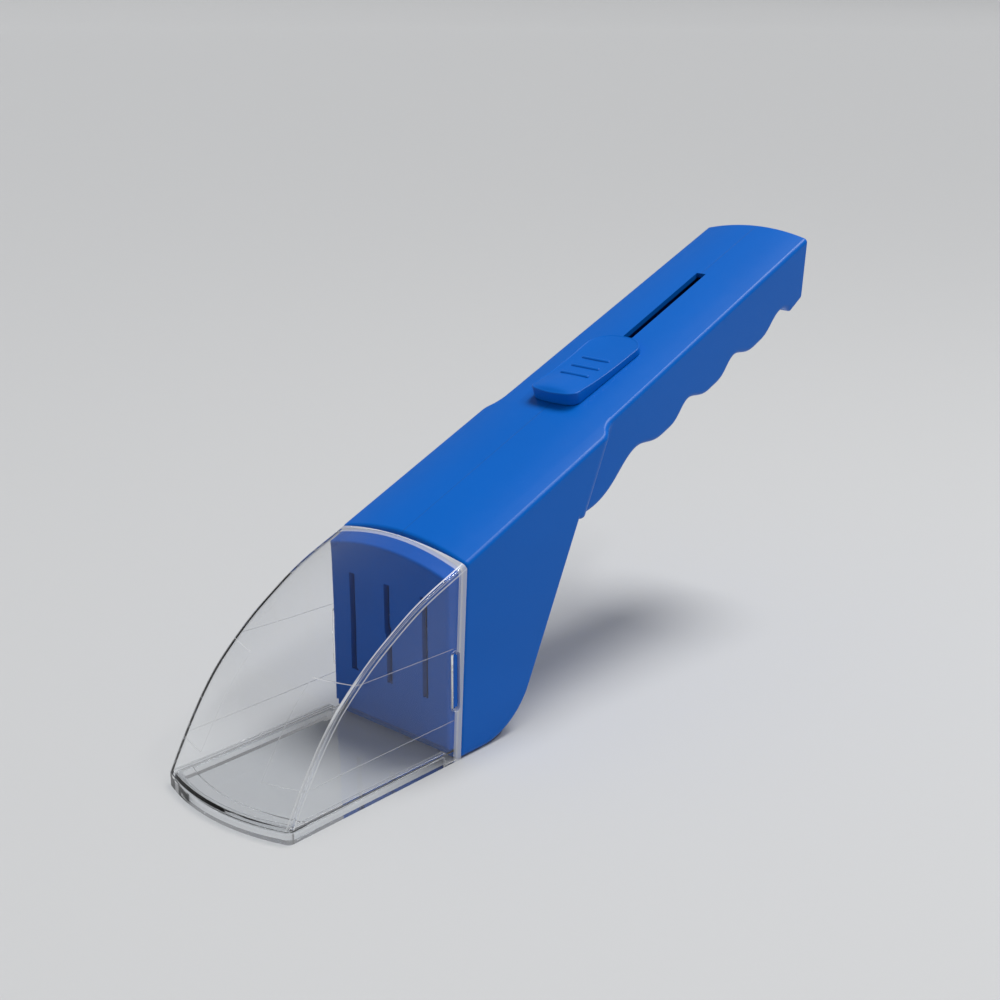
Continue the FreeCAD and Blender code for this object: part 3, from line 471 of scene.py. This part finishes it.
def bar(mesh, place, size, rounding=0.0):
    """Adds a block centred on `place`, with rounded edges, and gives the edges it began with."""
    matrix = Matrix.LocRotScale(place, None, size)
    block = bmesh.ops.create_cube(mesh, size=1.0, matrix=matrix)["verts"]
    edges = list({edge for vert in block for edge in vert.link_edges})
    if rounding:
        bevel(mesh, edges, rounding)
    return edges


def runs(edge):
    """The way an edge runs, of length 1."""
    return (edge.verts[0].co - edge.verts[1].co).normalized()


def scene_object(name, data):
    piece = bpy.data.objects.new(name, data)
    bpy.context.scene.collection.objects.link(piece)
    return piece


def to_data(mesh, name):
    """Mesh data from a bmesh, which is freed."""
    data = bpy.data.meshes.new(name)
    mesh.to_mesh(data)
    mesh.free()
    return data


def finished(mesh, name, body, material, smooth_angle=35.0):
    """Makes the object of a finished bmesh, shades it and lets it ride on its body."""
    bmesh.ops.recalc_face_normals(mesh, faces=mesh.faces)
    data = to_data(mesh, name)
    piece = scene_object(name, data)
    data.materials.append(material)
    data.shade_smooth()
    data.set_sharp_from_angle(angle=math.radians(smooth_angle))
    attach(piece, body)
    return piece


# ---------------------------------------------------------------- pieces
class CATCHER_OT_shells(Operator):
    """Finish the two moulded halves of handle and head"""
    bl_idname = "catcher.shells"
    bl_label = "Shell halves"

    def execute(self, context):
        blue = moulded_blue("shell_blue", settings().shell.blue, seam=True)
        for name in ("shell_left", "shell_right"):
            wear(NODES[name], blue)
        return {"FINISHED"}


class CATCHER_OT_bulkhead(Operator):
    """Finish the vent wall behind the trap"""
    bl_idname = "catcher.bulkhead"
    bl_label = "Vent bulkhead"

    def execute(self, context):
        # The darker vent wall blue is painted shade.
        wear(NODES["vent_bulkhead"], moulded_blue("vent_wall_shaded_blue", settings().shell.plug_shaded_blue))
        return {"FINISHED"}


# Places ahead and heights, in mm, that the top sheet's outer skin passes in the side view.
HOOD_LINE = ((-3.5, 70.0), (17.6, 61.9), (34.0, 52.7), (43.2, 46.4), (54.2, 37.0),
             (61.2, 28.9), (67.4, 19.9), (72.6, 11.4), (76.4, 4.6), (82.0, -6.0))
HOOD_ROWS = 56
# Columns of half the hood: shares of the wall's drop, of the corner's turn and of the sheet's width.
WALL_DROPS = (1.0, 0.75, 0.5, 0.25)
CORNER_TURNS = (0.0, 0.17, 0.39, 0.61, 0.83, 1.0)
SHEET_SHARES = (0.93, 0.85, 0.75, 0.62, 0.48, 0.32, 0.16, 0.0)
HALF_COLUMNS = len(WALL_DROPS) + len(CORNER_TURNS) + len(SHEET_SHARES) - 1


def hood_line():
    """Knots for the side view of the top sheet's outer skin, by the distance along it."""
    points = [Vector(p) * MM for p in HOOD_LINE]
    reach = [0.0]
    for before, after in zip(points, points[1:]):
        reach.append(reach[-1] + (after - before).length)
    return [(r, p.x) for r, p in zip(reach, points)], [(r, p.y) for r, p in zip(reach, points)]


def hood_section(column, sag):
    """Side place, height over the side edges and share of the way down, for one column."""
    corner = settings().hood.corner
    slope = math.atan(2 * sag / HALF_WIDTH)
    tangent = HALF_WIDTH - corner * (1 - math.sin(slope))
    tangent_rise = sag * (1 - (tangent / HALF_WIDTH) ** 2)
    centre_rise = tangent_rise - corner * math.cos(slope)
    sign = -1.0 if column < HALF_COLUMNS else 1.0
    inward = min(column, 2 * HALF_COLUMNS - column)
    if inward < len(WALL_DROPS):
        return sign * HALF_WIDTH, centre_rise, WALL_DROPS[inward]
    inward -= len(WALL_DROPS)
    if inward < len(CORNER_TURNS):
        angle = CORNER_TURNS[inward] * (math.pi / 2 - slope)
        side = HALF_WIDTH - corner * (1 - math.cos(angle))
        return sign * side, centre_rise + corner * math.sin(angle), 0.0
    side = tangent * SHEET_SHARES[inward - len(CORNER_TURNS)]
    return sign * side, sag * (1 - (side / HALF_WIDTH) ** 2), 0.0


def hood_skin(mesh):
    """The hood's outer skin, carried below the rail so that it can be cut to length."""
    columns = 2 * HALF_COLUMNS
    bmesh.ops.create_grid(mesh, x_segments=HOOD_ROWS, y_segments=columns, size=0.5)
    skin_layer = mesh.verts.layers.float.new("skin")
    corner_start = len(WALL_DROPS)
    # The strips at both ends of each corner arc take the milky material: painted bright edge lines.
    glint_strips = (corner_start, corner_start + len(CORNER_TURNS) - 2)
    for face in mesh.faces:
        column = int((face.calc_center_median().y + 0.5) * columns)
        face.material_index = int(min(column, columns - 1 - column) in glint_strips)
    ahead, upward = hood_line()
    reach = ahead[-1][0]
    foot, step = -8.0 * MM, 0.1 * MM
    rim_sag, lip_sag = crown(0.0), settings().hood.lip_sag
    for vert in mesh.verts:
        share = vert.co.x + 0.5
        at = share * reach
        x, z = through(ahead, at), through(upward, at)
        near = max(min(at, reach - step), step)
        run = Vector((through(ahead, near + step) - through(ahead, near - step), 0.0,
                      through(upward, near + step) - through(upward, near - step))).normalized()
        out = Vector((-run.z, 0.0, run.x))
        sag = rim_sag + (lip_sag - rim_sag) * share ** 2
        side, rise, drop = hood_section(round((vert.co.y + 0.5) * columns), sag)
        top = Vector((x, 0.0, z)) + out * rise
        lean = RIM_LEAN * max(1 - share * 1.4, 0.0)
        low = Vector((top.x + lean * (top.z - foot), 0.0, min(foot, top.z - 2 * MM)))
        vert.co = top.lerp(low, drop) + ACROSS * side
        vert[skin_layer] = 1.0


def hood_cutter():
    """What is cut from the hood: all under the rail's top or the floor, and the snap windows."""
    hood = settings().hood
    mesh = bmesh.new()
    width, deep = 90 * MM, 30 * MM
    long, short = 120 * MM, 60 * MM
    bar(mesh, Vector((RAIL_REAR + long / 2, 0, RAIL_TOP - deep / 2)), Vector((long, width, deep)))
    bar(mesh, Vector((-10 * MM, 0, -deep / 2)), Vector((short, width, deep)))
    window = Vector((hood.window_width, 12 * MM, hood.window_height))
    for side in (-1, 1):
        place = Vector((hood.window_ahead, side * HALF_WIDTH, hood.window_level))
        corners = [edge for edge in bar(mesh, place, window) if abs(runs(edge).y) > 0.9]
        bevel(mesh, corners, window.x * 0.49, 6)
    return scene_object("hood_cutter", to_data(mesh, "hood_cutter"))


def cut_away(data, cutter):
    """The mesh left when the cutter is taken out of `data`."""
    holder = scene_object("hood_blank", data)
    cut = holder.modifiers.new("cut", "BOOLEAN")
    cut.operation = "DIFFERENCE"
    cut.solver = "EXACT"
    cut.use_self = True
    cut.object = cutter
    shaped = holder.evaluated_get(bpy.context.evaluated_depsgraph_get())
    result = bpy.data.meshes.new_from_object(shaped)
    bpy.data.objects.remove(holder)
    bpy.data.objects.remove(cutter)
    return result


def build_hood():
    """Walls of one thickness, open under the trap, with softened rims."""
    mesh = bmesh.new()
    hood_skin(mesh)
    bmesh.ops.recalc_face_normals(mesh, faces=mesh.faces)
    middle = max(mesh.faces, key=lambda face: face.calc_center_median().z)
    if middle.normal.z < 0:
        bmesh.ops.reverse_faces(mesh, faces=mesh.faces)
    outer = list(mesh.verts)
    skin_layer = mesh.verts.layers.float["skin"]
    bmesh.ops.solidify(mesh, geom=list(mesh.faces), thickness=settings().hood.wall)
    for vert in mesh.verts:
        vert[skin_layer] = 0.0
    for vert in outer:
        vert[skin_layer] = 1.0
    data = cut_away(to_data(mesh, "hood_blank"), hood_cutter())
    mesh = bmesh.new()
    mesh.from_mesh(data)
    bmesh.ops.remove_doubles(mesh, verts=mesh.verts, dist=0.01 * MM)
    sharp = [edge for edge in mesh.edges if edge.calc_face_angle(0.0) > math.radians(35)]
    # The bevelled rims take the milky material too: painted highlights along the cut rims.
    for face in bevel(mesh, sharp, settings().hood.rim_bevel, 2)["faces"]:
        face.material_index = 1
    return mesh


class CATCHER_OT_hood(Operator):
    """Build the clear trap hood and finish its shutter rail"""
    bl_idname = "catcher.hood"
    bl_label = "Clear hood"

    def execute(self, context):
        tint = settings().hood.tint
        clear = clear_plastic("hood_clear", tint, marks=hood_marks)
        hood = finished(build_hood(), "trap_hood", "root", clear, 20.0)
        # Second material, milky white: painted highlights on the corner strips and the bevelled rims.
        hood.data.materials.append(clear_plastic("hood_edge_glint", tint, glint_milk=0.55))
        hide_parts("clear_hood")
        wear(NODES["shutter_rail"], clear_plastic("rail_clear", tint))
        return {"FINISHED"}


class CATCHER_OT_shutter(Operator):
    """Build the clear shutter sheet, and finish its stiff front edge and the strip that pulls it"""
    bl_idname = "catcher.shutter"
    bl_label = "Shutter"

    def execute(self, context):
        film = clear_plastic("shutter_film", settings().hood.tint, roughness=0.03)
        for name in ("shutter_lead_edge", "shutter_bend", "shutter_tail"):
            wear(NODES[name], film)
        low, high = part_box("shutter_panel")
        mesh = bmesh.new()
        blank = bar(mesh, (low + high) / 2, high - low)
        crosswise = [edge for edge in blank if abs(runs(edge).y) > 0.9]
        bmesh.ops.subdivide_edges(mesh, edges=crosswise, cuts=11, use_grid_fill=True)
        for vert in mesh.verts:
            if vert.co.x > 0.0:
                vert.co.x -= settings().shutter.bow * (vert.co.y / high.y) ** 2
        rims = [edge for edge in mesh.edges if edge.calc_face_angle(0.0) > 1.0]
        bevel(mesh, rims, settings().shutter.rim_bevel, 2)
        panel = finished(mesh, "shutter_sheet", "root", film, 10.0)
        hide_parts("shutter_panel")
        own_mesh(panel)
        return {"FINISHED"}


class CATCHER_OT_slide(Operator):
    """Finish the guides, the track and the carriage inside the handle"""
    bl_idname = "catcher.slide"
    bl_label = "Slide and guides"

    def execute(self, context):
        # The dark inner blue is painted shade that darkens the slot inside the handle.
        inner = moulded_blue("inner_shaded_blue", settings().shell.inner_shaded_blue)
        for name in ("heel_guide", "neck_guide", "slide_track", "slide_carriage", "shutter_clamp"):
            wear(NODES[name], inner)
        return {"FINISHED"}


class CATCHER_OT_fasteners(Operator):
    """Finish the screws and rivets"""
    bl_idname = "catcher.fasteners"
    bl_label = "Fasteners"

    def execute(self, context):
        steel = zinc_steel()
        for name in ("shell_screws", "button_screw", "clamp_rivets"):
            wear(NODES[name], steel)
        return {"FINISHED"}


# Distances from the button's front and heights of its top over the crown's middle line, in mm,
# along its middle and along its sides.
BUTTON_MIDDLE = ((0.0, 4.7), (2.6, 5.5), (9.0, 4.5), (18.0, 2.7), (29.0, 1.7), (40.0, 1.5), (47.5, 1.6))
BUTTON_SIDE = ((0.0, 4.0), (6.0, 3.6), (14.0, 2.8), (26.0, 2.2), (40.0, 1.9), (47.5, 1.5))
BUTTON_RINGS = (0.95, 0.91, 0.84, 0.75, 0.64, 0.5, 0.34, 0.17, 0.0)
OUTLINE_SIDES = 72
FRONT_BOW = 1.8 * MM
REAR_BOW = 2.0 * MM
RIB_SINK = 0.3 * MM
STEM_SIZE = Vector((10.2, 3.8, 12.2)) * MM
STEM_MIDDLE = Vector((19.6, 0.0, -5.1)) * MM


def button_top(at, side):
    """Height of the dished top over the crown's middle line."""
    at = min(max(at, 0.0), settings().button.length) / MM
    share = min(abs(side) / settings().button.rear_half, 1.0)
    edge, middle = through(BUTTON_SIDE, at), through(BUTTON_MIDDLE, at)
    return (middle + (edge - middle) * share ** 2.2) * MM


def button_outline(mesh):
    """A closed loop of edges in the button's plan form: squarer front, rounder rear, both bowed."""
    button = settings().button
    ring = bmesh.ops.create_circle(mesh, segments=OUTLINE_SIDES, radius=1.0)["verts"]
    half_side = Matrix.Rotation(math.pi / OUTLINE_SIDES, 3, "Z")
    bmesh.ops.rotate(mesh, verts=ring, cent=(0, 0, 0), matrix=half_side)
    for vert in ring:
        front, left = vert.co.x < 0, vert.co.y > 0
        corner = button.front_corner if front else button.rear_corner
        half = button.front_half if front else button.rear_half
        end = corner if front else button.length - corner
        vert.co = Vector((end, (half - corner) * (1 if left else -1), 0.0)) + vert.co * corner
    straight = [edge for edge in mesh.edges if edge.calc_length() > 4 * MM]
    bmesh.ops.subdivide_edges(mesh, edges=straight, cuts=24)
    for vert in mesh.verts:
        across = min(abs(vert.co.y) / button.front_half, 1.0)
        end = vert.co.x / button.length
        bow = FRONT_BOW * (1 - end) ** 6 - REAR_BOW * end ** 6
        vert.co.x += bow * across ** 2
    return list(mesh.edges)


def build_button():
    """Dished top in rings, skirt down to the handle, grip ribs and the stem through the slot."""
    button = settings().button
    mesh = bmesh.new()
    outline = button_outline(mesh)
    spine = (button.front_half, button.length - button.rear_half)
    loop, last = outline, 1.0
    for share in BUTTON_RINGS:
        grown = bmesh.ops.extrude_edge_only(mesh, edges=loop)["geom"]
        for vert in (g for g in grown if isinstance(g, bmesh.types.BMVert)):
            middle = Vector((min(max(vert.co.x, spine[0]), spine[1]), 0.0, 0.0))
            vert.co = middle + (vert.co - middle) * share / last
        loop = [g for g in grown if isinstance(g, bmesh.types.BMEdge)]
        last = share
    for vert in mesh.verts:
        vert.co.z = button_top(vert.co.x, vert.co.y)
    for vert in {v for edge in outline for v in edge.verts}:
        vert.co.z += button.rim_lift
    skirt = bmesh.ops.extrude_edge_only(mesh, edges=outline)["geom"]
    foot = [g for g in skirt if isinstance(g, bmesh.types.BMEdge)]
    for vert in {v for edge in foot for v in edge.verts}:
        vert.co.z = crown(vert.co.y) - crown(0.0) + button.clearance
    bmesh.ops.contextual_create(mesh, geom=foot)
    bmesh.ops.remove_doubles(mesh, verts=mesh.verts, dist=0.005 * MM)
    bevel(mesh, [edge for edge in outline if edge.is_valid], button.rim_bevel)
    rib = Vector((button.rib_width, button.rib_length, button.rib_height))
    for number in (-1, 0, 1):
        at = button.rib_middle + number * button.rib_pitch
        bar(mesh, Vector((at, 0.0, button_top(at, 0.0) - RIB_SINK)), rib, 0.7 * MM)
    bar(mesh, STEM_MIDDLE, STEM_SIZE, 0.3 * MM)
    place = handle_frame() @ Matrix.Translation(Vector((button.start, 0.0, 0.0)))
    bmesh.ops.transform(mesh, matrix=place, verts=mesh.verts)
    return mesh


class CATCHER_OT_button(Operator):
    """Build the dished thumb button"""
    bl_idname = "catcher.button"
    bl_label = "Thumb button"

    def execute(self, context):
        blue = moulded_blue("button_blue", settings().shell.blue)
        button = finished(build_button(), "dished_button", "slide", blue)
        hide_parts("thumb_button")
        return {"FINISHED"}


# ---------------------------------------------------------------- stage
MIDDLE = Vector((-0.07, 0.0, 0.08))
SUN_RUNS = Vector((0.35, -0.05, -0.93))
STRIP_OFFSET = Vector((-0.30, 0.485, 0.82))
VIEW_TURN, VIEW_RISE, VIEW_ROLL = math.radians(131.39), math.radians(17.96), math.radians(0.27)
VIEW_TARGET = Vector((-0.14374, -0.07876, 0.03529))
VIEW_DISTANCE = 0.69379


def lamp(name, kind, energy, runs_to):
    """A lamp that shines along `runs_to`, with its data ready for more settings."""
    data = bpy.data.lights.new(name, kind)
    data.energy = energy
    light = scene_object(name, data)
    light.rotation_euler = runs_to.to_track_quat("-Z", "Y").to_euler()
    return light


class CATCHER_OT_stage(Operator):
    """Set out the plain floor, the soft studio light and the camera"""
    bl_idname = "catcher.stage"
    bl_label = "Stage"

    def bowl(self):
        """A flat floor that sweeps up all round into a low wall."""
        radius, sweep, wall, steps, below = 12.0, 5.0, 2.0, 12, 0.2 * MM
        mesh = bmesh.new()
        line = [mesh.verts.new((0.0, 0.0, 0.0)), mesh.verts.new((radius, 0.0, 0.0))]
        for step in range(1, steps + 1):
            angle = math.pi / 2 * step / steps
            out, up = radius + sweep * math.sin(angle), sweep * (1 - math.cos(angle))
            line.append(mesh.verts.new((out, 0.0, up)))
        line.append(mesh.verts.new((radius + sweep, 0.0, sweep + wall)))
        edges = [mesh.edges.new(pair) for pair in zip(line, line[1:])]
        bmesh.ops.spin(mesh, geom=line + edges, cent=(0, 0, 0), axis=(0, 0, 1), angle=2 * math.pi,
                       steps=96, use_merge=True)
        bmesh.ops.remove_doubles(mesh, verts=mesh.verts, dist=0.0001)
        bmesh.ops.recalc_face_normals(mesh, faces=mesh.faces)
        bmesh.ops.translate(mesh, verts=mesh.verts, vec=(0.0, 0.0, CAD_BOX[0][2] - below))
        data = to_data(mesh, "stage_floor")
        data.shade_smooth()
        mix = Mix("stage_matt")
        mix.set_look(Base_Color=settings().stage.floor, Specular_IOR_Level=0.1,
                     Roughness=mix.spread(mix.noise(30.0), 0.7, 0.8))
        data.materials.append(mix.material)
        scene_object("stage_floor", data)

    def light(self, scene):
        """Soft light from all round, a broad key light and a strip along the near edges."""
        look = settings().stage
        scene.view_settings.view_transform = "Standard"
        world = bpy.data.worlds.new("stage_air")
        world.use_nodes = True
        air = world.node_tree.nodes["Background"].inputs
        air["Color"].default_value = (0.96, 0.97, 1.0, 1.0)
        air["Strength"].default_value = look.air
        scene.world = world
        lamp("key_sun", "SUN", look.sun, SUN_RUNS).data.angle = math.radians(24)
        strip = lamp("edge_strip", "AREA", look.strip, -STRIP_OFFSET)
        strip.location = MIDDLE + STRIP_OFFSET
        strip.data.shape = "RECTANGLE"
        strip.data.size, strip.data.size_y = 0.5, 0.04

    def camera(self, scene):
        """Looks down on the catcher from its left front."""
        back = Vector((math.sin(VIEW_TURN) * math.cos(VIEW_RISE),
                       -math.cos(VIEW_TURN) * math.cos(VIEW_RISE), math.sin(VIEW_RISE)))
        level = Vector((math.cos(VIEW_TURN), math.sin(VIEW_TURN), 0.0))
        upright = back.cross(level)
        right = level * math.cos(VIEW_ROLL) + upright * math.sin(VIEW_ROLL)
        up = upright * math.cos(VIEW_ROLL) - level * math.sin(VIEW_ROLL)
        data = bpy.data.cameras.new("stage_camera")
        data.lens = settings().stage.lens
        data.sensor_width = 36.0
        data.clip_start = 0.01
        view = scene_object("stage_camera", data)
        basis = Matrix((right, up, back)).transposed().to_4x4()
        view.matrix_world = Matrix.Translation(VIEW_TARGET + back * VIEW_DISTANCE) @ basis
        scene.camera = view

    def execute(self, context):
        self.bowl()
        self.light(context.scene)
        self.camera(context.scene)
        return {"FINISHED"}


# ---------------------------------------------------------------- panel and registration
STEPS = ("shells", "bulkhead", "hood", "shutter", "slide", "fasteners", "button", "stage")


class CATCHER_PT_panel(Panel):
    """Lists the pieces of the catcher"""
    bl_idname = "CATCHER_PT_panel"
    bl_label = "Insect catcher"
    bl_space_type = "VIEW_3D"
    bl_region_type = "UI"
    bl_category = "Catcher"

    def draw(self, context):
        for step in STEPS:
            self.layout.operator(f"catcher.{step}")
        catcher = settings()
        for group in (catcher.shell, catcher.hood, catcher.shutter, catcher.button, catcher.stage):
            column = self.layout.column()
            for name in group.__annotations__:
                column.prop(group, name)


CLASSES = (
    ShellSettings, HoodSettings, ShutterSettings, ButtonSettings, StageSettings, CatcherSettings,
    CATCHER_OT_shells, CATCHER_OT_bulkhead, CATCHER_OT_hood, CATCHER_OT_shutter, CATCHER_OT_slide,
    CATCHER_OT_fasteners, CATCHER_OT_button, CATCHER_OT_stage, CATCHER_PT_panel,
)


def register():
    for cls in CLASSES:
        bpy.utils.register_class(cls)
    bpy.types.Scene.catcher = PointerProperty(type=CatcherSettings)


def unregister():
    del bpy.types.Scene.catcher
    for cls in reversed(CLASSES):
        bpy.utils.unregister_class(cls)


def main():
    register()
    for step in STEPS:
        getattr(bpy.ops.catcher, step)()


if __name__ == "__main__":
    main()
